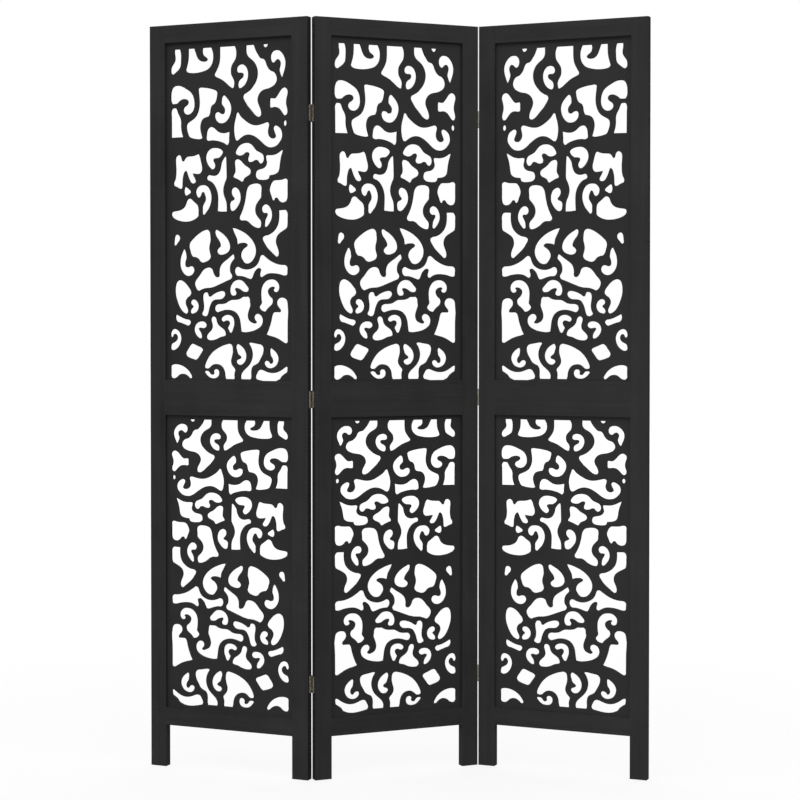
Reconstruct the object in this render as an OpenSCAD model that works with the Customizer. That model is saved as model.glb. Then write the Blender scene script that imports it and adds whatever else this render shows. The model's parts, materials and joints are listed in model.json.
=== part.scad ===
// Three-panel folding room screen in black-painted wood. Each panel is an
// upper and a lower frame, dowelled end to end, and each frame holds a
// fretwork board in a groove. Butt hinges join the panels in a zigzag.
// Origin: the floor under the middle of the screen. +X runs across it and
// -Y is its front.

/* [Screen] */
// Height of the whole screen
screen_h = 1700; // [1500:10:1900]
// Width of one panel
panel_w = 400; // [360:5:480]
// Thickness of the frames
frame_t = 19; // [18:1:25]
// Turn of each panel from the line of the screen, in degrees
fold_angle = 23; // [10:1:40]

/* [Frame members] */
// Width of a stile
stile_w = 39; // [36:1:50]
// Height of a rail
rail_h = 40; // [36:1:60]
// Height of the legs under the bottom rail
leg_h = 96; // [60:1:140]

/* [Fretwork boards] */
// Thickness of a fretwork board
board_t = 5; // [3:0.5:6]
// Depth of the groove that holds a board
groove_d = 8; // [6:1:10]
// Solid border between a stile and the pattern
border_x = 13; // [10:1:20]
// Solid border over the pattern of an upper board
upper_border = 15; // [8:1:20]
// Solid border over the pattern of a lower board
lower_border = 10; // [4:1:20]

/* [Hinges] */
// Height of a hinge
hinge_h = 38; // [30:1:50]
// Distance from the pin to a leaf's free edge
leaf_w = 11; // [9:0.5:14]
// Thickness of a leaf
leaf_t = 0.8; // [0.7:0.1:1.2]
// Diameter of a hinge pin
pin_d = 2; // [1.8:0.1:2.4]
// Distance of the top and bottom hinges from the ends of a panel
hinge_inset = 213; // [150:1:300]

/* [Hidden] */
$fn = 48;
half_h = screen_h / 2;
opening_w = panel_w - 2 * stile_w;
low_frame = [0, half_h];
high_frame = [half_h, screen_h];

// Fits and small clearances
groove_play = 0.2;
board_play = 1;
knuckle_gap = 0.15;
pin_play = 0.05;
leaf_play = 0.2;
leaf_clear = 0.05;
scallop_play = 0.9;
cut_extra = 1;
sink_play = 0.05;

// Board openings: bottom and top edges above the floor
lower_open = [leg_h + rail_h, half_h - rail_h];
upper_open = [half_h + rail_h, screen_h - rail_h];

// Hinges
knuckles = 5;
knuckle_r = pin_d / 2 + leaf_t;
knuckle_h = hinge_h / knuckles;
edge_gap = leaf_t + leaf_clear;
axis_proud = 0.6;
axis_u = panel_w / 2 + edge_gap;
axis_v = frame_t / 2 + axis_proud;
levels = ["bottom", "middle", "top"];
hinge_levels = [hinge_inset, half_h, screen_h - hinge_inset];
pin_head_r = 1.6;
pin_head_h = 0.7;
plate_start = 1.2;

// Screws through the hinge leaves, measured from the middle of the pin
screw_z = 11;
screw_y = -6.5;
head_r = 2.3;
shank_r = 1.3;
shank_l = 13;
tip_l = 4;
tip_r = 0.1;
cross_l = 2.6;
cross_w = 0.55;
cross_d = 0.6;

// Dowels
rail_dowel_r = 3;
rail_dowel_l = 28;
rail_dowel_z = [9, 25];
joint_dowel_r = 4;
joint_dowel_l = 40;
joint_dowel_u = [panel_w / 2 - stile_w / 2, 80];

// Places of the left and right panels: the hinge axis seen from both panels
function turned(p, a) = [p.x * cos(a) - p.y * sin(a), p.x * sin(a) + p.y * cos(a), 0];
left_axis = turned([-axis_u, axis_v], fold_angle);
left_centre = left_axis - turned([axis_u, axis_v], -fold_angle);
centres = [left_centre, [0, 0, 0], -left_centre];
turns = [-fold_angle, fold_angle, -fold_angle];
sides = ["left", "middle", "right"];

// Fretwork pattern of an upper board, in millimetres from the pattern's lower
// left corner. Each outline is closed and smooth; a third value of 1 marks a
// point where the outline turns sharply.
pattern_w = 296;
pattern_h = 751;
top_row = [
    [[8,751,1], [8,742], [9.5,732], [8.5,725], [4,718], [0,712], [-1.5,704], [0,697], [4,694.5],
        [9,697], [17,703], [23,710], [25,720], [25.5,732], [25,742], [22.5,751,1]],
    [[44,751,1], [44,741], [43.5,730], [42,720], [38.5,708], [37.5,702.5], [42,698], [50,696],
        [60,695.3], [72,696], [84,698.5], [94,702], [102,709], [107,719], [108.3,729],
        [107.5,739], [103,751,1], [81,751,1], [80.3,741], [83,734.5], [90,729], [92.7,725],
        [90,721.3], [83,720], [75,722], [68,729], [63.5,740], [59.5,751,1]],
    [[124.5,751,1], [124.5,731], [123,716], [119,705], [114,696], [110.8,690], [111,687.5],
        [115,684], [124,680], [132,675.5], [140,669], [148,662], [155,657.5], [159.5,657],
        [161,661], [161.8,671], [159,678], [154.5,686], [153.3,696], [154.5,705], [159,713],
        [165,722], [167,732], [166,744], [163,751,1]],
    [[167.7,698], [169.5,704], [174,707.7], [180,708.8], [186.5,707], [192,702], [195.7,694],
        [196.8,685], [195,674.5], [191,666], [185,659.5], [178,656], [174,655.8], [171.7,659],
        [171,665], [172.5,671], [176,675], [181,678.5], [184,683.5], [183,689], [178.5,690.5],
        [173,690.5], [169,693]],
    [[191.5,751,1], [191.3,742], [192,734], [196,726], [204,719.5], [211,713], [216.5,704],
        [219.7,692], [219,679], [215,668], [208,658], [200,649.5], [192,644.5], [185,640.5],
        [183.5,636], [187,627], [194,616], [203,606], [211,596.5], [218,591], [224,589.4],
        [228.5,592], [229.5,598], [227,608], [222.5,618], [220.5,627], [222,635], [227,643.5],
        [236,649.5], [248,652], [258,656], [265,661.5], [268.7,670], [267,680], [262,687],
        [254,690.5], [248,696], [243,705], [240,713], [236,717.5], [229,719.5], [222,728],
        [216,738], [211,751,1]],
    [[234.5,751,1], [236.5,746], [240.5,743.7], [244.5,746], [246.5,751,1]],
    [[253,722], [255,729.5], [260,734.5], [267,736], [274.5,734.7], [281,729.5], [286.5,721.5],
        [289.8,712], [290,701], [287.5,690], [284,680], [281.5,675.5], [279,678], [276,685.5],
        [274.4,692], [276,699], [277.3,706], [275.5,712.5], [271,716], [267,714], [264,710.5],
        [260,708.8], [256,711], [253.7,716]]];
second_row = [
    [[0,658], [3,664], [8,667.5], [15,668.4], [24,667], [34,662.5], [44,656.5], [52,650],
        [57.5,640], [59.8,628], [59,616], [55,608], [48,602.8], [40,602], [33.5,605.5],
        [30.5,612], [33,618.5], [40,623.5], [43.2,629], [41,635], [35,637.5], [28,636.8],
        [21,633], [15,628], [8,627.2], [2,628], [0,631,1]],
    [[-0.5,612], [2.5,616.8], [8,617.5], [12,616.8], [15,612], [18,604], [23,595], [25.2,586],
        [25,575], [26.5,563], [30,551,1], [-0.3,550.5,1], [-0.6,598]],
    [[69.3,659,1], [73,661.3], [82,661], [92,659.7], [102,657.3], [112,654], [118,649.5],
        [118,642], [116,632], [111.5,624], [105,620], [101.5,613], [100,603], [97,596],
        [88,593.5], [80,588.5], [76,580], [74.7,570], [76.5,559], [80,547,1], [76,545.2],
        [65,545.5], [54,547.7], [46,551], [41.5,560], [38.8,571], [40,580], [46,585], [55,590],
        [63,597], [69,609], [71.7,622], [71.5,637], [70,650]],
    [[134.5,641.5], [139,639], [145,632.5], [150,625.5], [153.5,616], [153.7,606], [151,596],
        [145,586], [138,580.3], [129,578.7], [120,581.3], [114,587.5], [111.7,595.5],
        [113,601.5], [117.5,604], [124,602.7], [129,599.3], [134,600], [136.3,605], [136,612],
        [132.5,617.5], [129,622], [128.8,630], [131,638.5]],
    [[286.5,652], [291,650.5], [294.8,646], [295.7,640], [293.5,631], [291.8,622], [292.3,612],
        [294.5,604], [295,597], [292.5,591.5], [288,590], [284,593], [279,600], [272,607.3],
        [264,609.8], [256,608.7], [252,609.3], [250.8,616], [250.8,624], [252,629.3],
        [257,629.3], [263,629], [267.5,633], [273,640.5], [280,649.3]],
    [[289,579], [292.7,573], [289,566.3], [285,573]],
    [[101,571], [106,570.3], [112,567], [118,561.5], [125,557.5], [134,556], [142,557],
        [149.5,559,1], [148.5,545], [147,532], [143.5,528.8], [138,532], [128,536.5],
        [117,539.7], [105,541], [94,540.7], [90.5,543], [90,551], [92,563], [96,569]],
    [[170,601.7], [175,596], [182,588], [190,581.5], [199,575.5], [209,571.3], [220,570.7],
        [231,573], [240,575.8], [246,576], [249,572.5], [248,564], [246.6,554], [249,545.5],
        [255,540], [261.5,540], [265,544], [263.5,550.5], [260.5,558], [260,564.5], [264,568],
        [271,566], [278,560], [281.5,551], [281,540], [276,531.5], [268,523.5], [258,520.2],
        [247,521], [237,526.5], [227,535.5], [217,543.3], [207,548.7], [196,550.7], [186,548.5],
        [177,543], [171,538.8], [166.5,538.3], [163,543], [160.7,553], [159.8,567], [162,582],
        [165.5,595], [167.5,600.5]]];
third_row = [
    [[9.8,498], [11,505], [16,509.7], [21,510], [25,505.5], [27,498.5], [29.5,495.5],
        [33,499.5], [38,504.8], [47,506.3], [56,507], [64,509.3], [69,511], [72.5,507],
        [76,494], [79,482], [78.5,473], [74,467], [66,466], [58,467.3], [55,467.5,1], [58,460],
        [62,453], [62.5,448], [57,444.8], [51,446.3], [46,453], [42,462], [39,470.5],
        [37,473.7], [33.5,471], [30.5,463], [28.7,453], [28.3,441], [26.5,434], [22,433.5],
        [14,437.7], [6,441,1], [5,446], [9,456], [10.7,467], [11,479], [10.3,489]],
    [[88.3,503], [90,511], [95,518], [102,522.3], [110,523.4], [120,522.2], [128,519],
        [132.5,513.5], [130.5,508.3], [126,503.5], [121,500.5], [113,500], [108.7,497.5],
        [108.8,493.5], [112,487.5], [112.8,481.5], [110,476.7], [105.5,475.2], [101,477.5],
        [95.5,483], [91,490.5], [88.7,497]],
    [[164.3,510], [166.5,517.5], [171.5,524.5], [179,529.5], [188,531.8], [198,531], [206,527],
        [212,520], [218,513.5], [226,509.3], [233,505], [236,498], [235.5,491], [231.5,485.5],
        [227,484.7], [223,488], [219.5,492.5], [215,493], [209,490], [202,488.8], [197,490.5],
        [195.3,496], [197.5,502.5], [198.3,508], [195,511.3], [190,510.3], [185,506.5],
        [178,504.2], [170,505.5]],
    [[284,514.5,1], [279,512], [272,507.5], [264,503.8], [254,502.2], [244,502.5],
        [240.3,501,1], [241,494], [242.7,487], [240.5,479.5], [234,473.7], [224,471.3],
        [217.5,468.3], [215,462], [215.5,455], [220,450.3], [230,448], [241,448], [248,450.5],
        [250.5,457.5,1], [258,458.5], [266,460.5], [272.5,465.5], [275,473], [276.5,485],
        [279,498], [282,507]],
    [[139,503.8], [141,498], [141.6,483], [142,466], [141.5,453], [137.5,444], [134.3,434],
        [133.5,424], [136,413], [140.5,402.5], [142.3,391], [142.3,379,1], [130,379],
        [118,380.5,1], [118.7,395], [119,409], [117.3,423], [113,434], [106.5,443.5],
        [99,449], [91.5,453], [91,457], [95,462], [103,461], [111,460.5], [118,463.5],
        [123.5,471], [126.5,480], [128,489], [132,496.5], [137,502.5]],
    [[163,493.5], [167,495.8], [173,495], [179,491.7], [184,486], [191,480], [198,475.8],
        [202.5,470.5], [203,465.5], [200,460.5], [193,456.5], [187,452.5], [183.5,446.5],
        [181,445], [177,447], [168,452], [158.5,456,1], [158.5,459.5], [162,465.5],
        [163.2,472], [162.5,480], [161.8,488]]];
fourth_row = [
    [[35.5,437], [39,436], [45,431.5], [49.5,427], [50,424.5], [46,421], [40,418], [36,418],
        [33.3,421.5], [32.3,427], [33.2,433.5]],
    [[80,440], [88,439], [95,434.5], [100,426.5], [102.8,417], [103,407], [100.5,396],
        [95.5,385.5], [88,376.3], [83.5,372.5], [80.5,374.5], [79.5,383], [79.7,392],
        [83,398.5], [86.5,404.5], [87,412.5], [84.5,420], [80.8,424.7], [78,421.5],
        [75.5,415.5], [71,412], [66.5,414], [63.2,420], [62.5,427], [65.5,433.5], [72,438.7]],
    [[-0.5,376], [1,380], [8,382], [18,383.5], [27,387], [33.5,393], [37,400], [40,407],
        [46,410.3], [51,409], [56,404.5], [62,399.5], [67,395], [69.5,388], [69.8,378],
        [69,370], [64,365.5], [55,361], [44,358.5], [32,358.5], [20,360.5], [9,364.5],
        [1.5,370]],
    [[161,432.7], [167,431.3], [172.5,427], [176,420], [177.6,410], [176,400], [171,391],
        [164.5,383.3], [157.5,380], [152.5,381.5], [150,389], [149.8,396.5], [152.5,401.5],
        [158,404], [161,407.5], [158.5,411.5], [155,416.5], [153.6,423], [155.5,429.5]],
    [[205,438.7], [213,440], [222,439.3], [228,436], [230.3,429], [229.5,418], [229,409],
        [224,402.5], [218.5,395.5], [215,387], [214.6,378], [217.5,369], [223,362], [228,356],
        [229,348], [226.5,341.3], [220,340.5], [212,343], [203,348.5], [195,355.5], [189,358],
        [181,358], [175.5,360], [173.8,364], [177,372], [182,383], [186,395], [189,409],
        [191,422], [194,431], [199,436.5]],
    [[249.5,425], [251,432], [254.5,440], [259.5,445], [268,446], [280,446.7], [291,448.8],
        [294.5,446.5], [295.2,438], [295.2,420], [294.7,406], [291.5,399], [285,396.3],
        [278,397.3], [272,402.3], [267.5,407.3], [264.5,406.5], [261.5,401.3], [258.5,401.5],
        [254.5,409], [251,418.5]],
    [[240.5,392.7], [246,391], [251,386], [254.5,379.5], [256.4,371], [255.7,362], [252,353.5],
        [247,346.5], [242,342.3], [238.7,342.7], [237.5,349], [239,358], [242.5,365],
        [244.3,371], [242,373.7], [237,373.5], [232.5,376], [230.3,381.5], [231.8,388],
        [236,391.7]],
    [[273,378.5,1], [283,379], [291.5,378], [294.8,373], [295.2,360], [295,347], [293.5,340],
        [286,334.5], [277,329], [270,322.5], [266.3,313], [267,303], [270.7,294], [273.2,284],
        [271.5,277], [267.5,275.3], [261,279.5], [250,289.5], [241,299], [235.5,308],
        [232,318.5], [236,321.7], [246,324], [256,329], [264,336.5], [270,346.5],
        [272.8,359]]];
fifth_row = [
    [[12.5,328.8], [18,327.5], [21.5,322.5], [20.5,316], [15.5,310], [10,304.3], [6.7,305],
        [6,312], [6.8,320], [9,326.5]],
    [[93,338.2], [97.5,335], [100,325], [100.7,314], [98.3,304], [97.3,295], [99.5,285],
        [101,277], [97,270.5], [89,266.5], [80,264.5], [74,266.8], [68,273.5], [61,277.2],
        [54,278.5], [50,283], [47,292.5], [44.8,301], [46.5,309.5], [53,317], [63,325.5],
        [75,333.5], [86,337.8]],
    [[115.5,338], [122,335], [131,329.5], [140,321.5], [147,312], [150.3,302], [149.8,294],
        [145.5,287.5], [137,283], [128,281.3], [120.5,283.5], [116.7,290], [120,296],
        [125,300.5], [124.3,308], [120,316], [115,322.5], [111.8,331], [112.5,336.5]],
    [[155.5,341.5,1], [164,340], [175,336], [187,330], [198,322], [207,312.5], [213,302.5],
        [216,291], [214.5,279.5], [209,269.5], [202,263], [194.5,260.8], [187.5,262],
        [182,268], [177.3,278], [179,287], [185,294.5], [191.5,299], [193.8,302.5],
        [190,306.7], [181,307.5], [173,306], [169.5,304.5], [168,308], [167,316], [163.5,324],
        [159,333]],
    [[32.5,295.2], [35.3,292], [38,282], [38.5,275], [36.3,268.5], [35.2,261.5], [37.5,255],
        [42,254], [48,256], [54,255.5], [58,250.5], [58.2,244.5], [54,238.3], [47,234.7],
        [39,234.8], [31.5,239], [25.5,246.5], [21.7,256.5], [21.2,267], [23,278], [27.5,289]],
    [[93,252.5], [100,252], [105,248.5], [108,240.5], [112,233.5], [117,230.3], [121,231.5],
        [122,241], [123.2,251], [127.5,259.5], [136,266.7], [146,273.5], [155,280.7],
        [158.5,282], [160.5,278.5], [161.5,273.5], [157,267.5], [152.5,261], [150.2,251],
        [151.5,241], [155.8,233], [154,228], [145,223.5], [128,216.5], [112,210], [100,207],
        [86,206], [76,202.7], [70,200.3], [65.5,202.5], [60.5,210], [59,217], [62,224.5],
        [69,232.5], [75.5,241.5], [83,249]],
    [[162,246], [164.5,251.5], [170,253.5], [177,250.5], [187,247.5], [199,247.8], [210,252],
        [218,258.5], [223.5,269], [227.5,278], [232,279.5], [240,274.5], [252,266],
        [265,259.8], [280,256.3], [291,255], [294.3,251.5], [294.5,242], [293.5,234.5],
        [287,233], [273,236.5], [258,238.5], [245,237.3], [236,233], [229.5,229.8], [226,232],
        [226.3,241], [227.3,248], [223.5,250.5], [217.5,247.5], [212,241], [208,231.5],
        [204.5,226.5], [199,226.5], [188,230.5], [176,233.2], [167,234], [163,239]]];
sixth_row = [
    [[20,224.5], [28,222.8], [36,217.5], [43,209.5], [49,201], [50.5,195], [48,190],
        [41,184.7], [36.5,177.5], [36.8,169], [40.5,161], [42.3,153.5], [39.5,148.8],
        [33,149.5], [25,155.5], [18,166], [13,178], [9.7,189], [8.5,200], [9.5,212],
        [13.5,221.3]],
    [[171,224], [180,222.5], [187,217.5], [193,210.5], [197.5,203.5], [195.5,198.5],
        [189,197], [182,198.5], [176,202.7], [169.5,205.5], [164,205.3], [163.3,202],
        [166.3,196], [165.5,191], [160,188.8], [153.5,190], [150,196.5], [149.8,204.5],
        [153,213.5], [160,220.8]],
    [[254,224.3], [262,223.3], [269,219], [273.5,212], [274,204], [271,198], [266,196],
        [261,197.8], [259.3,202], [262,205], [260.5,207.7], [256,208], [250.5,205.5],
        [246.5,200.5], [246.8,193.5], [251,186.5], [257,181], [258.2,175], [256,169],
        [249,163], [243,157], [239.5,152.8], [235,153], [226,158.5], [224,162.5],
        [226.5,167], [229.2,171], [228.5,180], [227.8,191], [228.8,203], [233,213],
        [242,221.5]],
    [[57,180.2], [63,178], [68,172], [69.7,165], [68,157.5], [63,151.5], [56,148.8],
        [50,148.8], [48,152], [49.5,157.5], [53,161.5], [55.2,164.5], [52.5,167.5],
        [49.3,171], [49.5,176.5], [52.5,179.3]],
    [[89,196.3], [84,195.3], [80.7,190.5], [80,183], [81.5,173], [82,163], [80,153.5],
        [77.3,147], [80.5,144], [87,142.2], [91.5,144], [94.5,150], [97,160], [101,170],
        [106,177], [113,180], [122,180.5], [130,182], [135.5,186.5], [137.8,191.5],
        [136,197], [130,199], [121,197.7], [111,194], [103,189.2], [98.5,186.5], [96,188],
        [94.5,192.5], [92.3,195.7]],
    [[110.8,160], [112.5,165.5], [118,169], [128,169.5], [138,171.3], [146,176], [152,178.5],
        [161,178.8], [170,179.8], [177,182.5], [181,185.2], [190,185.5], [196.5,185.7],
        [200,181.5], [200.8,174], [201.8,167], [198.5,157], [195.5,146.5], [196,138],
        [200,131], [207,127], [214,125.8], [216.5,128], [213,133.5], [211,139.5],
        [213,144.5], [219,147.2], [226,145.3], [231.5,139], [233,131], [230,122], [222,115],
        [211,110], [199,107.3], [186,106.2], [178,107.5,1], [176.8,116], [175,130],
        [170.5,143], [162,152], [150,156.3], [137,156.5], [125,153.3], [117,151.5],
        [112.5,154.5]],
    [[281,183.2], [274,182], [269.5,178], [267.7,171], [269.5,165.5], [274,160],
        [277.3,153.5], [275.5,150.7,1], [266,150.8], [260,150], [256.5,145], [254,134],
        [250.5,122], [245.5,109], [241.5,101,1], [249,98.5], [260,95.8], [272,91],
        [283,84.5], [290,81.5], [294,83], [295,91], [295.2,130], [295,171], [292.5,178.5],
        [288,181.8]]];
seventh_row = [
    [[11.5,146], [16,144.3], [27,138.8], [38,135], [47,132.7], [49.3,129], [46.5,123.5],
        [42.5,121], [36,122.8], [23,127.5], [13,131], [10.5,135], [10,143]],
    [[77,130.2], [84,129.3], [89,125.5], [90,121], [86.5,116.5], [80,115], [74,116.3],
        [70.5,115], [71,111.5], [75.5,105], [77.8,98], [77,92.5], [72.5,92.2], [66,96],
        [60.5,102.5], [57.8,111], [59.5,120], [65.5,127]],
    [[107.5,141.5], [103,139.5], [101.3,134.5], [103,127.5], [104.5,119.5], [102,111.5],
        [95.5,105], [90.5,99], [89.8,93], [94,88.8], [101,87.8], [110,88.8], [118,91.3],
        [126,95.2], [134,97], [139,99.5], [139,104], [135,111.5], [128,116.5], [121,122],
        [117,128.5], [115.3,135.5], [112,140.3]],
    [[127.3,135.5], [130.5,140.5], [137,144], [145,145], [153,143], [158.5,138], [160.8,130],
        [160.5,121], [157.5,112.5], [153,105], [149.8,105], [146,110.5], [143.7,116],
        [146.5,121], [148.4,126], [146.5,131], [142,132.8], [137,131], [132,130]],
    [[5,112.8], [12,112], [18,108], [22.5,101], [24.4,93], [22.5,82], [17,72.5], [9.5,66.5],
        [2,64.8], [-2.5,67], [-3,73], [-1,79], [4,81.7], [10,85.5], [13.7,92], [12.5,98.5],
        [8,102.2], [5,100.5], [3,96], [0,94.3], [-2.7,97], [-2.7,104], [0,110]]];
bottom_row = [
    [[53,79.3], [59,78], [68,74], [77.5,70], [80.5,66.5], [78,61], [72,52.5], [66.5,45.5],
        [62,43.2], [55,44.7], [46,47.5], [39,51], [36,56], [37.5,61.5], [43,69.5],
        [49,77.5]],
    [[149.5,79.5], [154.5,77], [157,69], [157.2,60], [155,51], [152.8,43], [153.5,35.5],
        [158,28], [163.3,21.5], [161.8,15], [161,8], [161.5,2], [160.5,0,1], [138.5,0,1],
        [136.8,6], [135.7,15], [131.5,25], [125,31], [116,33.7], [108,33], [101.5,29],
        [96,24.3], [89,23.7], [85,25.5], [85,31], [89.5,41.5], [97,53], [106,62], [117,69],
        [130,75], [141,78.3]],
    [[84.8,16.3], [89,17.7], [94,17.3], [98,14.3], [101,10.5], [105,9.3], [108.2,12],
        [107.5,16.5], [110,20.8], [115,22], [120,20], [122.3,14.5], [120.5,7], [115,2.7],
        [106,1.3], [98,2.7], [91.5,6.8], [87,11.5]],
    [[168.5,79], [174.5,77.3], [182,72], [188,64.5], [191.2,55.5], [190.8,47], [187,39],
        [180.5,33.5], [174,32.5], [168,35.3], [165.8,40], [169.5,44], [175,46], [177.4,49],
        [174.5,53], [169.5,57], [166.8,64.5], [165.3,75]],
    [[197.5,80.5], [200.5,82.2], [209,81.5], [220,79.5], [230,77], [234,72.5], [234.7,64.5],
        [231.5,54], [226.5,45.5], [222,38], [215,33.3], [208.5,30], [205,24.5], [203.7,15],
        [203.8,4], [202.5,0,1], [178,0,1], [176.8,5], [178.5,12.5], [184,19.5],
        [192,26.5], [199,34], [204.5,45], [206.3,57], [204,68], [199.5,77]],
    [[252.5,69.8], [257.5,67.8], [264.5,62.5], [270,55], [272.3,47], [270.5,38.5],
        [265.5,31], [258,26.7], [250,25.3], [243,27.3], [238,32], [236.5,37.5],
        [239.5,41.3], [245,41.5], [249.5,38.5], [253,35], [256,37], [257.5,42],
        [255.5,48.5], [252,53.5], [250.8,60], [250.9,67.5]],
    [[214.3,4.5], [217,12.5], [221,19], [226,21.5], [232,21], [240,18], [250,15],
        [260,14.5], [270,16.8], [281,22.5], [289,28], [293.5,28.8], [294.5,23],
        [293.5,17.5], [287,13], [281,8.5], [275.5,1.5], [273,0,1], [217,0,1]],
    [[-2.7,22], [-2,29], [3,31.5], [13,32.2], [24,30], [35,24.8], [44,17.5], [50,9], [52,3],
        [50,0.8], [46,1.3], [41,5.5], [35,9.3], [27,10.8], [19,8.3], [13.5,3.5], [8,0.8],
        [1,0.8], [-2.3,4], [-2.7,12]]];
outlines = concat(top_row, second_row, third_row, fourth_row, fifth_row, sixth_row,
    seventh_row, bottom_row);

// Smooth closed curve through an outline's points. The direction at a point is
// that of the circle through it and its two neighbours, a sharp point takes
// each side's own, and a span has a facet for every few degrees of its turn.
facet_turn = 30;
function flat(p) = [p.x, p.y];
function sharp(p) = len(p) > 2;
function chord(o, i) = flat(o[(i + 1) % len(o)]) - flat(o[i % len(o)]);
function direction(o, i) =
    let (before = chord(o, i + len(o) - 1), after = chord(o, i),
        sum = before / (before * before) + after / (after * after))
    sum / norm(sum);
function speeds(o, i) =
    let (span = chord(o, i), next = (i + 1) % len(o),
        out = direction(o, i) * norm(span), in = direction(o, next) * norm(span))
    sharp(o[i]) && sharp(o[next]) ? [span, span] :
    sharp(o[i]) ? [(3 * span - in) / 2, in] :
    sharp(o[next]) ? [out, (3 * span - out) / 2] : [out, in];
function between(a, b) = acos(max(-1, min(1, a * b / norm(a) / norm(b))));
function facets(o, i) =
    let (s = speeds(o, i), span = chord(o, i))
    max(1, ceil((between(s[0], span) + between(span, s[1])) / facet_turn));
function along(o, i, t) =
    let (s = speeds(o, i), p = flat(o[i]), q = p + chord(o, i))
    (1 - t) * (1 - t) * (1 + 2 * t) * p + t * t * (3 - 2 * t) * q
    + t * (1 - t) * (1 - t) * s[0] - t * t * (1 - t) * s[1];
function curve(o) =
    [for (i = [0 : len(o) - 1], k = [0 : facets(o, i) - 1]) along(o, i, k / facets(o, i))];

// The curves on a board, about the middle of its width. A lower board has the
// same pattern turned left for right, a little off its middle and squeezed
// more towards its top.
zone_w = opening_w - 2 * border_x;
upper_foot = 3.5;
lower_foot = 12;
lower_shift = -2.5;
lower_squeeze = 0.18;
upper_zone = [upper_open[0] + upper_foot, upper_open[1] - upper_border];
lower_zone = [lower_open[0] + lower_foot, lower_open[1] - lower_border];
function upper_point(p) =
    let (up = p.y / pattern_h)
    [(p.x / pattern_w - 0.5) * zone_w,
        upper_zone[0] + up * (upper_zone[1] - upper_zone[0])];
function lower_point(p) =
    let (up = p.y / pattern_h, squeezed = up * (1 + lower_squeeze * (1 - up)))
    [(0.5 - p.x / pattern_w) * zone_w + lower_shift,
        lower_zone[0] + squeezed * (lower_zone[1] - lower_zone[0])];
curves = [for (o = outlines) curve(o)];
function first_point(n) = n == 0 ? 0 : len(curves[n - 1]) + first_point(n - 1);

// Places its children in one panel: 0 is left, 1 is middle and 2 is right
module in_panel(panel) {
    translate(centres[panel]) rotate([0, 0, turns[panel]]) children();
}

// The left (-1) or right (1) edge of a panel meets hinge joint 0 or 1, whose
// pins stand proud of the back (1) or the front (-1). 0 means a free edge.
function joint_at(panel, side) = panel + (side - 1) / 2;
function pin_face(panel, side) =
    joint_at(panel, side) == 0 ? 1 : joint_at(panel, side) == 1 ? -1 : 0;

// The right panel is the left one turned round, so its boards are reversed
module mirrored(panel) {
    mirror([panel == 2 ? 1 : 0, 0, 0]) children();
}

// Places its children, drawn for a right edge with the pin at the back, at a
// hinge: their origin is the middle of the pin, and the wood is at -X and -Y
module at_hinge(side, face, z) {
    translate([side * axis_u, face * axis_v, z])
        mirror([side < 0 ? 1 : 0, 0, 0]) mirror([0, face < 0 ? 1 : 0, 0]) children();
}

// Places its children at every hinge screw of a panel, drawn along +X with
// the face of the wood at the origin
module at_screws(panel) {
    for (side = [-1, 1])
        if (pin_face(panel, side) != 0)
            for (z = hinge_levels, dz = [-screw_z, screw_z])
                at_hinge(side, pin_face(panel, side), z + dz)
                    translate([-edge_gap, screw_y, 0]) children();
}

// Hollows in a panel's corners, which its hinge knuckles sit in
module scallops(panel) {
    for (side = [-1, 1])
        if (pin_face(panel, side) != 0)
            for (z = hinge_levels)
                at_hinge(side, pin_face(panel, side), z)
                    cylinder(r = knuckle_r + leaf_play, h = hinge_h + 2 * scallop_play, center = true);
}

// A round bar or hole along X
module rod_x(r, from, to) {
    translate([from, 0, 0]) rotate([0, 90, 0]) cylinder(r = r, h = to - from);
}

// Heights of the rail dowels over and under one opening
function dowel_heights(open) =
    [for (z = rail_dowel_z) each [open[0] - rail_h + z, open[1] + rail_h - z]];

// Dowels between the rails of one opening and its stiles
module rail_rods(open) {
    for (side = [-1, 1], z = dowel_heights(open))
        translate([side * opening_w / 2, 0, z])
            rod_x(rail_dowel_r, -rail_dowel_l / 2, rail_dowel_l / 2);
}

// Dowels between the upper and the lower frame
module joint_rods() {
    for (u = joint_dowel_u, side = [-1, 1])
        translate([side * u, 0, half_h - joint_dowel_l / 2])
            cylinder(r = joint_dowel_r, h = joint_dowel_l);
}

// The space of a fretwork board and its groove
module board_groove(open) {
    reach = opening_w / 2 + groove_d;
    translate([-reach, -(board_t + groove_play) / 2, open[0] - groove_d])
        cube([2 * reach, board_t + groove_play, open[1] - open[0] + 2 * groove_d]);
}

module stile(panel, side, frame, open) {
    color("#2b2b2b") difference() {
        translate([side > 0 ? opening_w / 2 : -panel_w / 2, -frame_t / 2, frame[0]])
            cube([stile_w, frame_t, frame[1] - frame[0]]);
        board_groove(open);
        rail_rods(open);
        joint_rods();
        at_screws(panel) rod_x(shank_r, -shank_l, leaf_t);
        scallops(panel);
    }
}

module rail(bottom, open) {
    color("#2b2b2b") difference() {
        translate([-opening_w / 2, -frame_t / 2, bottom]) cube([opening_w, frame_t, rail_h]);
        board_groove(open);
        rail_rods(open);
        joint_rods();
    }
}

// A board with the pattern cut through it; points places the pattern's points
module fretwork(open, points) {
    reach = opening_w / 2 + groove_d - board_play;
    low = open[0] - groove_d + board_play;
    high = open[1] + groove_d - board_play;
    rim = [[-reach, low], [reach, low], [reach, high], [-reach, high]];
    cuts = [for (n = [0 : len(curves) - 1])
        [for (i = [0 : len(curves[n]) - 1]) len(rim) + first_point(n) + i]];
    color("#282828") rotate([90, 0, 0])
        linear_extrude(height = board_t, center = true)
            polygon(points = concat(rim, points), paths = concat([[0, 1, 2, 3]], cuts));
}

module rail_dowels() {
    color("burlywood") {
        rail_rods(upper_open);
        rail_rods(lower_open);
    }
}

module joint_dowels() {
    color("burlywood") joint_rods();
}

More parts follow.
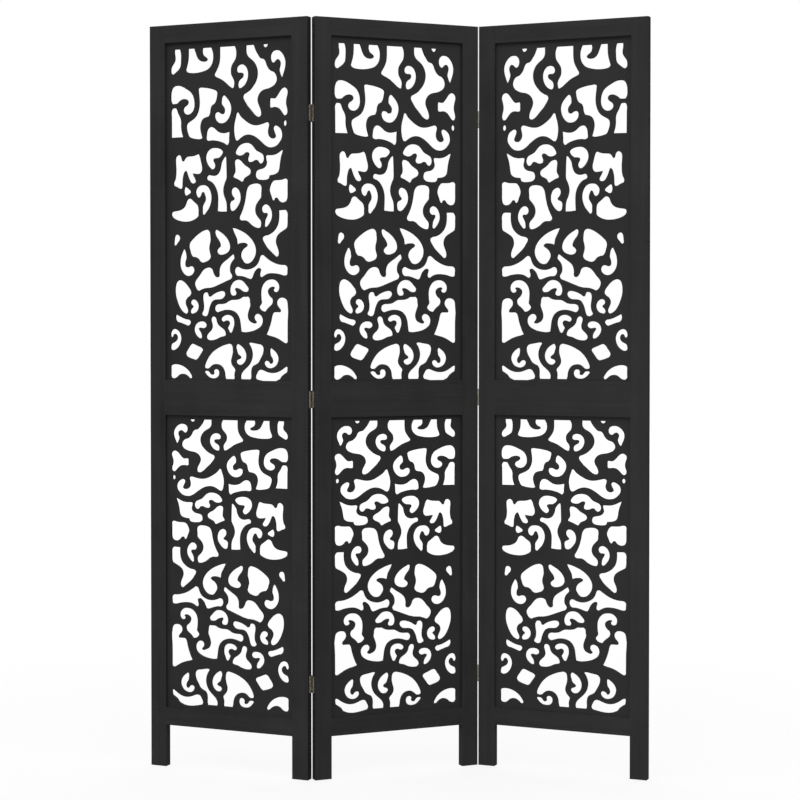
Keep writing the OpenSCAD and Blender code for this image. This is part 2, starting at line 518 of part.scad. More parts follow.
// A countersunk screw with a cross in its head, along X
module screw() {
    head_l = leaf_t - sink_play;
    difference() {
        union() {
            rotate([0, 90, 0]) cylinder(r1 = shank_r, r2 = head_r - sink_play, h = head_l);
            rod_x(shank_r, tip_l - shank_l, 0);
            translate([-shank_l, 0, 0]) rotate([0, 90, 0]) cylinder(r1 = tip_r, r2 = shank_r, h = tip_l);
        }
        for (turn = [0, 90])
            translate([head_l - cross_d, 0, 0]) rotate([turn, 0, 0])
                translate([0, -cross_l / 2, -cross_w / 2]) cube([cross_d + cut_extra, cross_l, cross_w]);
    }
}

module hinge_screws(panel) {
    color("#6b6355") at_screws(panel) screw();
}

// The stretch of one knuckle along the pin; gap is taken off both its ends
module knuckle(i, r, gap) {
    translate([0, 0, i * knuckle_h - hinge_h / 2 + gap])
        cylinder(r = r, h = knuckle_h - 2 * gap);
}

// A leaf with its own knuckles rolled round the pin
module leaf(own, bore_r) {
    color("#5f5648") difference() {
        union() {
            translate([-edge_gap, -leaf_w, -hinge_h / 2])
                cube([leaf_t, leaf_w - plate_start, hinge_h]);
            for (i = own) knuckle(i, knuckle_r, knuckle_gap / 2);
        }
        translate([0, 0, -hinge_h]) cylinder(r = bore_r, h = 2 * hinge_h);
        for (i = [0 : knuckles - 1])
            if (len(search(i, own)) == 0) knuckle(i, knuckle_r + leaf_play, -knuckle_gap / 2);
        for (z = [-screw_z, screw_z])
            translate([-edge_gap, screw_y, z]) rotate([0, 90, 0])
                cylinder(r1 = shank_r + sink_play, r2 = head_r + sink_play, h = leaf_t);
    }
}

// The outer leaf is on a side panel and the inner one on the middle panel
module outer_leaf() {
    leaf([1, 3], pin_d / 2 + pin_play);
}

module inner_leaf() {
    leaf([0, 2, 4], pin_d / 2);
}

module hinge_pin() {
    color("#5f5648") {
        translate([0, 0, -hinge_h / 2]) cylinder(r = pin_d / 2, h = hinge_h);
        for (end = [-1, 1])
            mirror([0, 0, end < 0 ? 1 : 0]) translate([0, 0, hinge_h / 2])
                cylinder(r1 = pin_head_r, r2 = pin_d / 2, h = pin_head_h);
    }
}

for (p = [0 : 2]) {
    in_panel(p) stile(p, -1, high_frame, upper_open);
    in_panel(p) stile(p, 1, high_frame, upper_open);
    in_panel(p) stile(p, -1, low_frame, lower_open);
    in_panel(p) stile(p, 1, low_frame, lower_open);
    in_panel(p) rail(upper_open[1], upper_open);
    in_panel(p) rail(half_h, upper_open);
    in_panel(p) rail(lower_open[1], lower_open);
    in_panel(p) rail(leg_h, lower_open);
    in_panel(p) mirrored(p) fretwork(upper_open, [for (c = curves, q = c) upper_point(q)]);
    in_panel(p) mirrored(p) fretwork(lower_open, [for (c = curves, q = c) lower_point(q)]);
    in_panel(p) rail_dowels();
    in_panel(p) joint_dowels();
    in_panel(p) hinge_screws(p);
}
for (j = [0, 1], l = [0 : 2]) {
    name = str(sides[2 * j], "_hinge_", levels[l]);
    face = 1 - 2 * j;
    in_panel(2 * j) at_hinge(face, face, hinge_levels[l]) outer_leaf();
    in_panel(1) at_hinge(-face, face, hinge_levels[l]) inner_leaf();
    in_panel(1) at_hinge(-face, face, hinge_levels[l]) hinge_pin();
}
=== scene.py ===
"""A black three-panel folding room screen with fretwork boards, in a plain white studio.

The frames and hinges are the CAD parts with softened edges and their materials;
the screws and dowels are the CAD parts with their materials. Each fretwork board is made
again from the outlines of its CAD board, as finer curves with rounded edges.
"""

import json
import math

import bpy
import numpy as np
from mathutils import Matrix, Vector
from mathutils.geometry import tessellate_polygon


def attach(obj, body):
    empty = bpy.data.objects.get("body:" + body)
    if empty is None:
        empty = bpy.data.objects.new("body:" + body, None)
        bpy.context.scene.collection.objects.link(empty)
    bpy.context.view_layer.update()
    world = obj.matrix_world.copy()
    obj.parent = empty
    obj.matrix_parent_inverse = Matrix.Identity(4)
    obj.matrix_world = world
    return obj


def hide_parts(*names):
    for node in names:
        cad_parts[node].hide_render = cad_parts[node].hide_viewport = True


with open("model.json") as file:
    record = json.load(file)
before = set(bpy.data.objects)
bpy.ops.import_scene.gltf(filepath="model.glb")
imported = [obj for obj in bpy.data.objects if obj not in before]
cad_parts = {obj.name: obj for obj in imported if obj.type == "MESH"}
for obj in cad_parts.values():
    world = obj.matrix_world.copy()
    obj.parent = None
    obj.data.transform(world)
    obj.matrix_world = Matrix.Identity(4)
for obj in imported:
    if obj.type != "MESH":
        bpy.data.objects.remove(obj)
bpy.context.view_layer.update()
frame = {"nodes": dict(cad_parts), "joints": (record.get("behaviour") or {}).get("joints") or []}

SIDES = ("left", "middle", "right")
HINGE_SIDES = ("left", "right")
HINGE_LEVELS = ("bottom", "middle", "top")
RAILS = ("top_rail", "upper_bottom_rail", "lower_top_rail", "bottom_rail")
BODY = {side: f"{side}_panel" for side in SIDES}
PIN = {side: next(j["pos_m"] for j in frame["joints"] if j["name"] == f"{side}_fold")
       for side in HINGE_SIDES}

# Softened edges of the CAD parts, in metres
FRAME_BEVEL = 0.00045
FRAME_FACETS = 3
HINGE_BEVEL = 0.00015
HINGE_FACETS = 2
BEVELLED_ANGLE = math.radians(40)  # edges sharper than this are softened
SAME_PLACE = 1e-5  # points nearer to each other than this are taken as one

# Fretwork boards
ROUNDING = 0.0006  # radius of a board's cut edges
ROUND_STEPS = 2  # facets over a rounded edge
CURVE_TURN = math.radians(8)  # turn of an outline at each facet
CORNER_TURN = math.radians(46)  # a sharper turn than this stays a corner
CORNER_REACH = 1.6  # most that a corner's offset reaches, as a multiple of the inset
KEY_DIGITS = 6  # outline points are matched to the micrometre
FACE_SLOT, EDGE_SLOT = 0, 1  # material slots of a board

# Greys of the paint, from its dark to its light patches and where it is rubbed
WOOD_GREYS = (0.0180, 0.0345, 0.060)
BOARD_GREYS = (0.0210, 0.0305, 0.050)
# painted shade: the cut edges get greys far darker than the boards' faces
CUT_SHADED_GREYS = (0.0035, 0.0075)
PAINT_GLOSS = 0.22
CUT_GLOSS = 0.20

# Brass, from its dark to its light patches, where it is rubbed, and the painted shade on its knuckles
BRASS_DARK = (0.46, 0.435, 0.37, 1)
BRASS_LIGHT = (0.84, 0.80, 0.69, 1)
BRASS_RUBBED = (0.86, 0.81, 0.69, 1)
# the colour of the painted shade on the hinges' knuckles, where the leaves shade them
HINGE_PAINTED_SHADE = (0.030, 0.027, 0.022, 1)
PAINTED_SHADE_REACH = (0.19, 0.34)  # painted shade fades between these distances from the pin, in centimetres
THIN_PAINTED_SHADE = 0.4  # painted shade on the outer side of the knuckles

BEECH_DARK = (0.38, 0.22, 0.11, 1)
BEECH_LIGHT = (0.60, 0.41, 0.24, 1)

# Camera
CAMERA_AT = Vector((-0.0076, -4.3973, 1.0195))
CAMERA_DOWN = math.radians(1.081)
CAMERA_LEFT = math.radians(-0.018)
LENS = 87.35
SENSOR = 36
SHIFT = (0.0081, -0.05)

# Studio light: softboxes by name, with place, aim, size and watts
RING_LIGHT = 0.85  # strength of the ring of light overhead
RING_SLANT = 1.0  # how much stronger it is on the far left than in the middle
SOFTBOXES = {
    "key": ((-3.5, -11.5, 15.0), (0, 0, 0.9), (16.0, 3.2), 340),
    "fill": ((-1.3, -5.4, 0.15), (0, 0, 0.2), (4.2, 0.6), 80),
    "side": ((4.6, -3.9, 5.0), (0, 0, 0.8), (3.4, 3.0), 95),
    "back": ((3.0, 11.0, 12.0), (0, 0, 0.9), (14.0, 3.6), 560),
}

# Floor
FLOOR_RADIUS = 14
FLOOR_GREY = 0.10
FLOOR_GLOW = (0.86, 0.95)  # near the screen and far from it


# ---------------------------------------------------------------- geometry
def board_normal(side):
    """The horizontal direction in which the front of a panel's boards looks."""
    mesh = frame["nodes"][f"{side}_upper_fretwork"].data
    largest = max(mesh.polygons, key=lambda p: p.area)
    normal = largest.normal.copy()
    return normal if normal.y < 0 else -normal


def panel_turn(side):
    """A panel's turn about the vertical, in radians."""
    normal = board_normal(side)
    return math.atan2(normal.x, -normal.y)


TURN = {side: panel_turn(side) for side in SIDES}


def to_panel(side):
    """The matrix from the row frame to a panel's own directions: across, depth, up."""
    return Matrix.Rotation(-TURN[side], 4, "Z")


def front_outlines(mesh, turned):
    """The closed outlines of a board's front face and the face's depth.

    The outlines are in panel directions and run with the wood on their left.
    """
    points, index, edges = [], {}, set()
    depth = min((turned @ v.co).y for v in mesh.vertices)
    for polygon in mesh.polygons:
        corners = [turned @ mesh.vertices[i].co for i in polygon.vertices]
        if any(c.y - depth > SAME_PLACE for c in corners):
            continue
        ring = []
        for c in corners:
            key = (round(c.x, KEY_DIGITS), round(c.z, KEY_DIGITS))
            if key not in index:
                index[key] = len(points)
                points.append((c.x, c.z))
            ring.append(index[key])
        edges.update((a, b) for a, b in zip(ring, ring[1:] + ring[:1]) if a != b)
    # an edge that only one face has lies on an outline
    following = {a: b for a, b in edges if (b, a) not in edges}
    outlines = []
    while following:
        start, at = next(iter(following.items()))
        del following[start]
        outline = [points[start]]
        while at != start:
            outline.append(points[at])
            at = following.pop(at)
        outlines.append(np.array(outline))
    return outlines, depth


def area(outline):
    """The area that an outline encloses."""
    following = np.roll(outline, -1, axis=0)
    return 0.5 * abs(np.sum(outline[:, 0] * following[:, 1] - outline[:, 1] * following[:, 0]))


def turns(outline):
    """The angle by which an outline turns at each of its points."""
    after = np.roll(outline, -1, axis=0) - outline
    before = np.roll(after, 1, axis=0)
    cross = before[:, 0] * after[:, 1] - before[:, 1] * after[:, 0]
    return np.arctan2(cross, (before * after).sum(axis=1))


def angle_between(a, b):
    cosine = a @ b / np.linalg.norm(a) / np.linalg.norm(b)
    return math.acos(max(-1.0, min(1.0, cosine)))


def smooth(outline):
    """A finer outline on the smooth curve through the points, with its corners kept."""
    n = len(outline)
    after = np.roll(outline, -1, axis=0) - outline
    before = np.roll(after, 1, axis=0)
    corner = np.abs(turns(outline)) > CORNER_TURN
    way = before / (before**2).sum(1, keepdims=True) + after / (after**2).sum(1, keepdims=True)
    way /= np.linalg.norm(way, axis=1, keepdims=True)
    points = []
    for i in range(n):
        j = (i + 1) % n
        span = after[i]
        length = np.linalg.norm(span)
        start, end = way[i] * length, way[j] * length
        if corner[i] and corner[j]:
            start = end = span
        elif corner[i]:
            start = (3 * span - end) / 2
        elif corner[j]:
            end = (3 * span - start) / 2
        bend = angle_between(start, span) + angle_between(span, end)
        count = max(1, math.ceil(bend / CURVE_TURN))
        t = (np.arange(count) / count)[:, None]
        p, q = outline[i], outline[j]
        points.extend((1 - t) ** 2 * (1 + 2 * t) * p + t**2 * (3 - 2 * t) * q
                      + t * (1 - t) ** 2 * start - t**2 * (1 - t) * end)
    return np.array(points)


def point_normals(outline):
    """For each point the direction out of the wood, and how much further its offset reaches."""
    after = np.roll(outline, -1, axis=0) - outline
    after /= np.linalg.norm(after, axis=1, keepdims=True)
    before = np.roll(after, 1, axis=0)
    out = np.stack([after[:, 1] + before[:, 1], -after[:, 0] - before[:, 0]], axis=1)
    out /= np.maximum(np.linalg.norm(out, axis=1, keepdims=True), 1e-9)
    half_turn = np.abs(turns(outline)) / 2
    return out, np.minimum(1 / np.cos(half_turn), CORNER_REACH)


def edge_rings(front, back):
    """The rings over a board's edge, from the front face over the wall to the back face.

    Each is its depth, its inset from the outline, and its normal's parts along the depth
    and out of the wood.
    """
    arc = [math.pi / 2 * k / ROUND_STEPS for k in range(ROUND_STEPS + 1)]
    rings = [(front + ROUNDING * (1 - math.cos(a)), ROUNDING * (1 - math.sin(a)),
              -math.cos(a), math.sin(a)) for a in arc]
    return rings + [(back + front - y, inset, -ny, out) for y, inset, ny, out in reversed(rings)]


class Surface:
    """Vertices and faces for a mesh, each face with a normal at every corner and a slot."""

    def __init__(self):
        self.vertices, self.faces, self.normals, self.slots = [], [], [], []

    def add(self, face, normals, slot):
        self.faces.append(face)
        self.normals.append(normals)
        self.slots.append(slot)

    def edge(self, curve, rings):
        """The rounded edge and the wall along one outline."""
        out, reach = point_normals(curve)
        first, n = len(self.vertices), len(curve)
        for y, inset, _, _ in rings:
            moved = curve - out * reach[:, None] * inset
            self.vertices.extend((x, y, z) for x, z in moved)
        for r in range(len(rings) - 1):
            slot = EDGE_SLOT if r == ROUND_STEPS else FACE_SLOT
            for i in range(n):
                j = (i + 1) % n
                quad = ((r, i), (r + 1, i), (r + 1, j), (r, j))
                normals = [(out[k][0] * rings[ring][3], rings[ring][2], out[k][1] * rings[ring][3])
                           for ring, k in quad]
                self.add([first + ring * n + k for ring, k in quad], normals, slot)

    def flat(self, numbered, looks):
        """A flat face inside the outlines, given as their vertices' numbers. It looks at looks * Y."""
        corners = [k for numbers in numbered for k in numbers]
        loops = [[Vector((self.vertices[k][0], self.vertices[k][2], 0)) for k in numbers]
                 for numbers in numbered]
        for triangle in tessellate_polygon(loops):
            a, b, c = (self.vertices[corners[k]] for k in triangle)
            turn = (b[0] - a[0]) * (c[2] - a[2]) - (b[2] - a[2]) * (c[0] - a[0])
            # seen from the front, a face that looks at -Y runs anticlockwise
            order = triangle if (turn > 0) == (looks < 0) else tuple(reversed(triangle))
            self.add([corners[k] for k in order], [(0, looks, 0)] * 3, FACE_SLOT)

    def mesh(self, name, matrix, materials):
        """The mesh, with its points moved by the matrix."""
        mesh = bpy.data.meshes.new(name)
        mesh.from_pydata([matrix @ Vector(v) for v in self.vertices], [], self.faces)
        for material in materials:
            mesh.materials.append(material)
        mesh.polygons.foreach_set("material_index", self.slots)
        mesh.polygons.foreach_set("use_smooth", [True] * len(self.faces))
        mesh.update()
        turn = matrix.to_3x3()
        mesh.normals_split_custom_set(
            [tuple(turn @ Vector(n).normalized()) for face in self.normals for n in face])
        return mesh


def build_board(node, side, materials):
    """A fretwork board with smooth outlines and rounded edges, in place of its CAD node."""
    source = frame["nodes"][node].data
    turned = to_panel(side)
    outlines, front = front_outlines(source, turned)
    back = max((turned @ v.co).y for v in source.vertices)
    rim = max(outlines, key=area)
    curves = [rim] + [smooth(o) for o in outlines if o is not rim]

    rings = edge_rings(front, back)
    surface = Surface()
    starts = []
    for curve in curves:
        starts.append(len(surface.vertices))
        surface.edge(curve, rings)
    for ring, looks in ((0, -1), (len(rings) - 1, 1)):
        numbered = [range(first + ring * len(curve), first + (ring + 1) * len(curve))
                    for first, curve in zip(starts, curves)]
        surface.flat(numbered, looks)

    name = f"{node}_board"
    piece = bpy.data.objects.new(name, surface.mesh(name, turned.inverted(), materials))
    bpy.context.scene.collection.objects.link(piece)
    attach(piece, BODY[side])
    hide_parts(node)


def soften(node, width, facets):
    """Rounds a CAD node's edges with modifiers."""
    piece = frame["nodes"][node]
    weld = piece.modifiers.new("weld", "WELD")
    weld.merge_threshold = SAME_PLACE
    bevel = piece.modifiers.new("bevel", "BEVEL")
    bevel.width = width
    bevel.segments = facets
    bevel.limit_method = "ANGLE"
    bevel.angle_limit = BEVELLED_ANGLE
    bevel.use_clamp_overlap = True
    even = piece.modifiers.new("normals", "WEIGHTED_NORMAL")
    even.keep_sharp = False


# ---------------------------------------------------------------- materials
class Tree:
    """Short calls for building a node tree."""

    def __init__(self, owner):
        owner.use_nodes = True
        self.tree = owner.node_tree
        self.tree.nodes.clear()

    def add(self, kind, values=None, **settings):
        node = self.tree.nodes.new(kind)
        for key, value in settings.items():
            setattr(node, key, value)
        for key, value in (values or {}).items():
            self.put(node.inputs[key], value)
        return node

    def put(self, socket, value):
        if isinstance(value, bpy.types.NodeSocket):
            self.tree.links.new(value, socket)
        elif isinstance(value, bpy.types.Node):
            self.tree.links.new(value.outputs[0], socket)
        else:
            socket.default_value = value

    def math(self, operation, a, b=0.0):
        return self.add("ShaderNodeMath", {0: a, 1: b}, operation=operation).outputs[0]

    def total(self, *parts, start=None):
        """The start value plus each part times its weight."""
        level = start
        for value, weight in parts:
            weighted = self.math("MULTIPLY", value, weight)
            level = weighted if level is None else self.math("ADD", level, weighted)
        return level

    def product(self, a, b):
        return self.math("MULTIPLY", a, b)

    def ramp(self, factor, *stops):
        """A ramp through the stops, each a position and a colour or a level."""
        node = self.add("ShaderNodeValToRGB", {0: factor})
        elements = node.color_ramp.elements
        while len(elements) < len(stops):
            elements.new(0.5)
        for element, (position, colour) in zip(elements, stops):
            element.position = position
            element.color = colour if isinstance(colour, tuple) else grey(colour)
        return node.outputs[0]

    def noise(self, vector, scale, detail=4.0, roughness=0.5, distortion=0.0):
        return self.add("ShaderNodeTexNoise", {
            "Vector": vector, "Scale": scale, "Detail": detail, "Roughness": roughness,
            "Distortion": distortion}).outputs[0]

    def stretched(self, vector, scales, detail, roughness, distortion=0.0):
        """Noise with its own scale along each axis."""
        return self.noise(self.scaled(vector, *scales), 1.0, detail, roughness, distortion)

    def scaled(self, vector, x, y, z):
        values = {0: vector, 1: (x, y, z)}
        return self.add("ShaderNodeVectorMath", values, operation="MULTIPLY").outputs[0]

    def bumps(self, *layers):
        """The normal over layers of relief, each its height, strength and distance in metres."""
        normal = None
        for height, strength, distance in layers:
            values = {"Height": height, "Strength": strength, "Distance": distance}
            if normal is not None:
                values["Normal"] = normal
            normal = self.add("ShaderNodeBump", values).outputs[0]
        return normal

    def mix(self, factor, a, b):
        node = self.add("ShaderNodeMix", data_type="RGBA")
        for key, value in (("Factor", factor), ("A", a), ("B", b)):
            self.put(next(s for s in node.inputs if s.name == key and s.enabled), value)
        return next(s for s in node.outputs if s.enabled)

    def finish(self, colour, rough, normal, specular=0.5, metallic=0.0):
        shader = self.add("ShaderNodeBsdfPrincipled", {
            "Base Color": colour, "Roughness": rough, "Normal": normal,
            "Specular IOR Level": specular, "Metallic": metallic})
        self.add("ShaderNodeOutputMaterial", {"Surface": shader.outputs[0]})


def grey(value, warmth=0.0):
    return (value * (1 + warmth), value, value * (1 - warmth), 1)


def place(tree, side=None):
    """Coordinates in metres, in a panel's own directions (across, depth, up) if it is named."""
    coordinates = tree.add("ShaderNodeTexCoord").outputs["Object"]
    if side is None:
        return coordinates
    values = {"Vector": coordinates, "Rotation": (0, 0, -TURN[side])}
    return tree.add("ShaderNodeMapping", values).outputs[0]


def edge_mask(tree, radius):
    """1 at a worn edge, 0 on a flat face."""
    rounded = tree.add("ShaderNodeBevel", {"Radius": radius}, samples=4).outputs[0]
    flat = tree.add("ShaderNodeNewGeometry").outputs["Normal"]
    values = {0: rounded, 1: flat}
    same = tree.add("ShaderNodeVectorMath", values, operation="DOT_PRODUCT").outputs["Value"]
    return tree.ramp(same, (0.55, 1.0), (0.97, 0.0))


def worn_patches(tree, at, radius, scale, start, end):
    """1 where an edge has been rubbed, in patches."""
    patches = tree.ramp(tree.noise(at, scale, detail=5.0, roughness=0.7), (start, 0.0), (end, 1.0))
    return tree.product(edge_mask(tree, radius), patches)


def painted_wood(side, along):
    """Satin black paint on planed wood, with the grain along "up" or "across"."""
    material = bpy.data.materials.new(f"painted_wood_{side}_{along}")
    tree = Tree(material)
    at = place(tree, side)
    up = along == "up"
    pores = tree.stretched(at, (950.0, 950.0, 22.0) if up else (22.0, 950.0, 950.0), 3.0, 0.55)
    figure = tree.stretched(at, (70.0, 70.0, 2.2) if up else (2.2, 70.0, 70.0), 5.0, 0.6, 0.6)
    cloud = tree.noise(at, 7.0, detail=4.0, roughness=0.55)
    peel = tree.noise(at, 1100.0, detail=1.0, roughness=0.4)
    worn = worn_patches(tree, at, 0.0012, 60.0, 0.42, 0.66)

    dark, light, rubbed = WOOD_GREYS
    tone = tree.total((figure, 0.45), (cloud, 0.55))
    paint = tree.ramp(tone, (0.30, grey(dark, 0.01)), (0.72, grey(light, 0.005)))
    colour = tree.mix(tree.product(worn, 0.55), paint, grey(rubbed, 0.05))
    rough = tree.total((figure, 0.24), (cloud, 0.12), (worn, -0.08), start=0.34)
    open_pores = tree.ramp(pores, (0.30, 0.0), (0.52, 1.0))
    normal = tree.bumps((peel, 0.10, 0.0002), (open_pores, 0.50, 0.0002), (figure, 0.45, 0.0008))
    tree.finish(colour, rough, normal, specular=PAINT_GLOSS)
    return material


def painted_board(side):
    """Satin black paint on the face of a fretwork board."""
    material = bpy.data.materials.new(f"painted_board_{side}")
    tree = Tree(material)
    at = place(tree, side)
    cloud = tree.noise(at, 9.0, detail=4.0, roughness=0.55)
    stipple = tree.noise(at, 850.0, detail=3.0, roughness=0.6)
    fibre = tree.stretched(at, (190.0, 190.0, 14.0), 4.0, 0.6)
    worn = worn_patches(tree, at, 0.0009, 80.0, 0.45, 0.70)

    dark, light, rubbed = BOARD_GREYS
    tone = tree.total((cloud, 0.6), (stipple, 0.4))
    paint = tree.ramp(tone, (0.32, grey(dark, 0.01)), (0.70, grey(light, 0.005)))
    colour = tree.mix(tree.product(worn, 0.45), paint, grey(rubbed, 0.05))
    rough = tree.total((cloud, 0.16), (stipple, 0.06), start=0.43)
    normal = tree.bumps((stipple, 0.32, 0.00024), (fibre, 0.30, 0.0004))
    tree.finish(colour, rough, normal, specular=PAINT_GLOSS)
    return material


def shaded_cut_edge(side):
    """Paint on a board's cut edge, with fine marks through its thickness; its dark greys are painted
    shade.
    """
    material = bpy.data.materials.new(f"shaded_board_edge_{side}")
    tree = Tree(material)
    at = place(tree, side)
    marks = tree.stretched(at, (1500.0, 60.0, 1500.0), 3.0, 0.6)
    layers = tree.stretched(at, (30.0, 1400.0, 30.0), 2.0, 0.5)
    cloud = tree.noise(at, 45.0, detail=4.0, roughness=0.6)

    # painted shade: the cut edge is made much darker than the board's face
    dark, light = CUT_SHADED_GREYS
    tone = tree.total((marks, 0.5), (cloud, 0.5))
    colour = tree.ramp(tone, (0.32, grey(dark, 0.02)), (0.72, grey(light, 0.02)))
    rough = tree.total((cloud, 0.20), start=0.58)
    normal = tree.bumps((marks, 0.35, 0.00022), (layers, 0.15, 0.00015))
    tree.finish(colour, rough, normal, specular=CUT_GLOSS)
    return material


def knuckle_painted_shade(tree, at, mottle, pin, inside):
    """1 where painted shade darkens a hinge's knuckles, less on their outer side."""
    axis = (pin[0], pin[1], 0.0)
    from_pin = tree.add("ShaderNodeVectorMath", {0: at, 1: axis}, operation="SUBTRACT")
    level = tree.scaled(from_pin, 1.0, 1.0, 0.0)
    away = tree.add("ShaderNodeVectorMath", {0: level}, operation="LENGTH").outputs["Value"]
    full, none = PAINTED_SHADE_REACH
    near = tree.ramp(tree.product(away, 100.0), (full, 1.0), (none, 0.0))
    depth = tree.add("ShaderNodeSeparateXYZ", {0: from_pin}).outputs["Y"]
    inner_side = tree.ramp(tree.product(depth, inside * 100.0), (0.0, THIN_PAINTED_SHADE), (0.07, 1.0))
    return tree.product(tree.product(near, inner_side), tree.ramp(mottle, (0.30, 1.0), (0.80, 0.7)))


def brass(name, pin=None, inside=0.0):
    """Pale antique brass, rubbed bright at the edges.

    On a hinge, painted shade darkens the knuckles, most on the side to which the leaves open
    and shade them. The hinge's pin is given by its place from above, and inside is 1 or -1
    where the leaves open towards +Y or -Y.
    """
    material = bpy.data.materials.new(name)
    tree = Tree(material)
    at = place(tree)
    mottle = tree.noise(at, 420.0, detail=6.0, roughness=0.65)
    streaks = tree.stretched(at, (1600.0, 1600.0, 90.0), 3.0, 0.6)
    worn = edge_mask(tree, 0.0004)
    tone = tree.total((mottle, 0.7), (streaks, 0.3))
    colour = tree.ramp(tone, (0.34, BRASS_DARK), (0.64, BRASS_LIGHT))
    colour = tree.mix(tree.product(worn, 0.6), colour, BRASS_RUBBED)
    rough = tree.total((mottle, 0.25), (worn, -0.12), start=0.34)
    if pin is not None:
        # painted shade on the knuckles, darkest between the open leaves
        painted_shade = knuckle_painted_shade(tree, at, mottle, pin, inside)
        colour = tree.mix(painted_shade, colour, HINGE_PAINTED_SHADE)
        rough = tree.total((painted_shade, 0.25), start=rough)
    normal = tree.bumps((streaks, 0.12, 0.0001), (mottle, 0.10, 0.0002))
    tree.finish(colour, rough, normal, metallic=1.0)
    return material


def beech(name):
    """Bare beech, for the dowels."""
    material = bpy.data.materials.new(name)
    tree = Tree(material)
    at = place(tree)
    fibre = tree.stretched(at, (260.0, 900.0, 260.0), 5.0, 0.6)
    flecks = tree.noise(at, 520.0, detail=2.0, roughness=0.5)
    tone = tree.total((fibre, 0.7), (flecks, 0.3))
    colour = tree.ramp(tone, (0.30, BEECH_DARK), (0.70, BEECH_LIGHT))
    rough = tree.total((flecks, 0.2), start=0.55)
    tree.finish(colour, rough, tree.bumps((fibre, 0.3, 0.0003)), specular=0.4)
    return material


def dress(node, material):
    """Gives a CAD node its material."""
    piece = frame["nodes"][node]
    if not piece.material_slots:
        piece.data.materials.append(material)
    for slot in piece.material_slots:
        slot.material = material


def finish_panel(side, dowel_wood, screw_metal):
    """Dresses a panel's frames and makes its boards."""
    upright = painted_wood(side, "up")
    level = painted_wood(side, "across")
    board_face = painted_board(side)
    shaded_board_edge = shaded_cut_edge(side)
    for part in ("upper", "lower"):
        for end in ("left", "right"):
            stile = f"{side}_{part}_{end}_stile"
            dress(stile, upright)
            soften(stile, FRAME_BEVEL, FRAME_FACETS)
        build_board(f"{side}_{part}_fretwork", side, (board_face, shaded_board_edge))
    for rail in RAILS:
        dress(f"{side}_{rail}", level)
        soften(f"{side}_{rail}", FRAME_BEVEL, FRAME_FACETS)
    dress(f"{side}_rail_dowels", dowel_wood)
    dress(f"{side}_joint_dowels", dowel_wood)
    dress(f"{side}_hinge_screws", screw_metal)


def finish_hinges(side):
    """Dresses the three hinges between a side panel and the middle one."""
    # each side's brass has its painted shade on the side to which that hinge's leaves open
    metal = brass(f"{side}_hinge_brass", PIN[side], 1.0 if PIN[side][1] > 0 else -1.0)
    for level in HINGE_LEVELS:
        for part in ("outer_leaf", "inner_leaf", "pin"):
            node = f"{side}_hinge_{level}_{part}"
            dress(node, metal)
            soften(node, HINGE_BEVEL, HINGE_FACETS)


# ---------------------------------------------------------------- studio
def build_floor():
    """A pale floor that glows evenly, and a little less round the screen."""
    bpy.ops.mesh.primitive_circle_add(
        vertices=128, radius=FLOOR_RADIUS, fill_type="TRIFAN", location=(0, 0, 0))
    floor = bpy.context.object
    floor.name = "floor"
    material = bpy.data.materials.new("pale_floor")
    tree = Tree(material)
    at = place(tree)
    away = tree.add("ShaderNodeVectorMath", {0: at}, operation="LENGTH").outputs["Value"]
    near, far = FLOOR_GLOW
    level = tree.ramp(tree.product(away, 0.1), (0.10, near), (0.80, far))
    diffuse = tree.add("ShaderNodeBsdfDiffuse", {"Color": grey(FLOOR_GREY)})
    glow = tree.add("ShaderNodeEmission", {"Color": level, "Strength": 1.0})
    both = tree.add("ShaderNodeAddShader", {0: diffuse.outputs[0], 1: glow.outputs[0]})
    tree.add("ShaderNodeOutputMaterial", {"Surface": both.outputs[0]})
    floor.data.materials.append(material)
    floor.visible_diffuse = False
    floor.visible_glossy = False


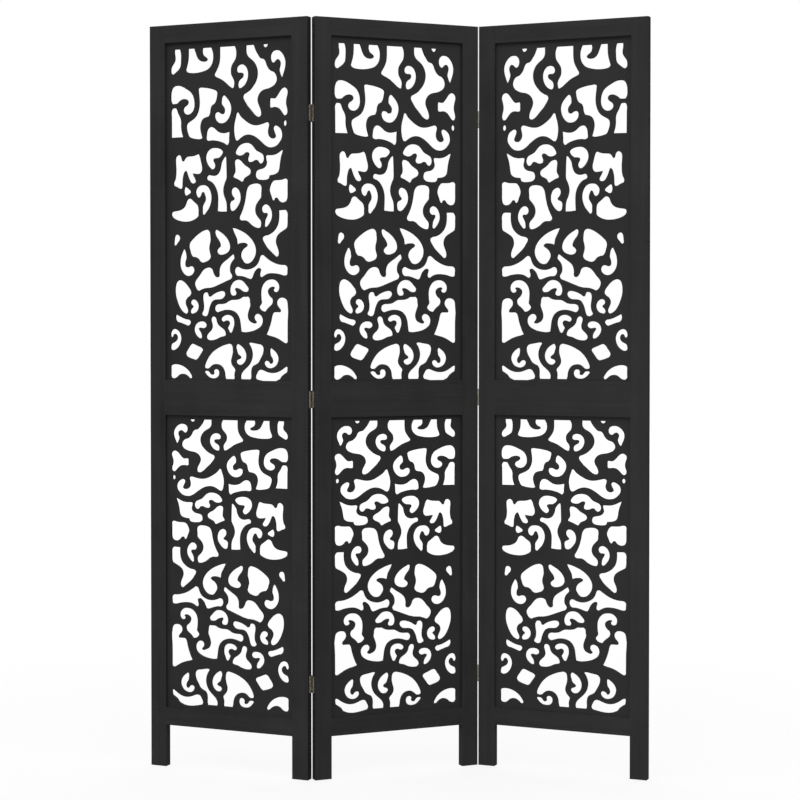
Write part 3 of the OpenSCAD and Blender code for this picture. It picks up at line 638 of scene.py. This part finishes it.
def build_world():
    """White to the camera. It lights with a dome and a high ring, stronger on the left.

    The stops of both ramps are heights: 0 is straight down, 0.5 the horizon, 1 straight up.
    """
    world = bpy.data.worlds.new("studio")
    bpy.context.scene.world = world
    tree = Tree(world)
    direction = tree.add("ShaderNodeTexCoord").outputs["Generated"]
    parts = tree.add("ShaderNodeSeparateXYZ", {0: direction}).outputs
    height = tree.total((parts["Z"], 0.5), start=0.5)
    dome = tree.ramp(height, (0.0, 0.20), (0.45, 0.20), (0.52, 0.09), (0.66, 0.12), (0.76, 0.5),
                     (0.93, 0.5), (1.0, 0.35))
    ring = tree.ramp(height, (0.66, 0.0), (0.76, 1.0), (0.93, 1.0), (1.0, 0.3))
    left = tree.total((parts["X"], -RING_SLANT), start=1.0)
    level = tree.math("ADD", dome, tree.product(ring, tree.product(left, RING_LIGHT)))
    light = tree.add("ShaderNodeBackground", {"Color": grey(1.0), "Strength": level})
    seen = tree.add("ShaderNodeBackground", {"Color": grey(1.0), "Strength": 1.0})
    ray = tree.add("ShaderNodeLightPath").outputs["Is Camera Ray"]
    both = tree.add("ShaderNodeMixShader", {0: ray, 1: light.outputs[0], 2: seen.outputs[0]})
    tree.add("ShaderNodeOutputWorld", {"Surface": both.outputs[0]})


def build_softbox(name, at, aim, size, watts):
    light = bpy.data.lights.new(name, "AREA")
    light.shape = "RECTANGLE"
    light.size, light.size_y = size
    light.energy = watts
    lamp = bpy.data.objects.new(name, light)
    bpy.context.scene.collection.objects.link(lamp)
    lamp.location = at
    lamp.rotation_mode = "QUATERNION"
    lamp.rotation_quaternion = (Vector(aim) - Vector(at)).to_track_quat("-Z", "Y")
    lamp.visible_camera = False


def build_camera():
    camera = bpy.data.cameras.new("camera")
    camera.lens = LENS
    camera.sensor_width = SENSOR
    camera.shift_x, camera.shift_y = SHIFT
    holder = bpy.data.objects.new("camera", camera)
    bpy.context.scene.collection.objects.link(holder)
    holder.location = CAMERA_AT
    holder.rotation_euler = (math.pi / 2 - CAMERA_DOWN, 0, CAMERA_LEFT)
    bpy.context.scene.camera = holder


beech_wood = beech("beech")
screw_brass = brass("screw_brass")
for side in SIDES:
    finish_panel(side, beech_wood, screw_brass)
for side in HINGE_SIDES:
    finish_hinges(side)
build_floor()
build_world()
for name, settings in SOFTBOXES.items():
    build_softbox(name, *settings)
build_camera()
bpy.context.scene.view_settings.view_transform = "Standard"
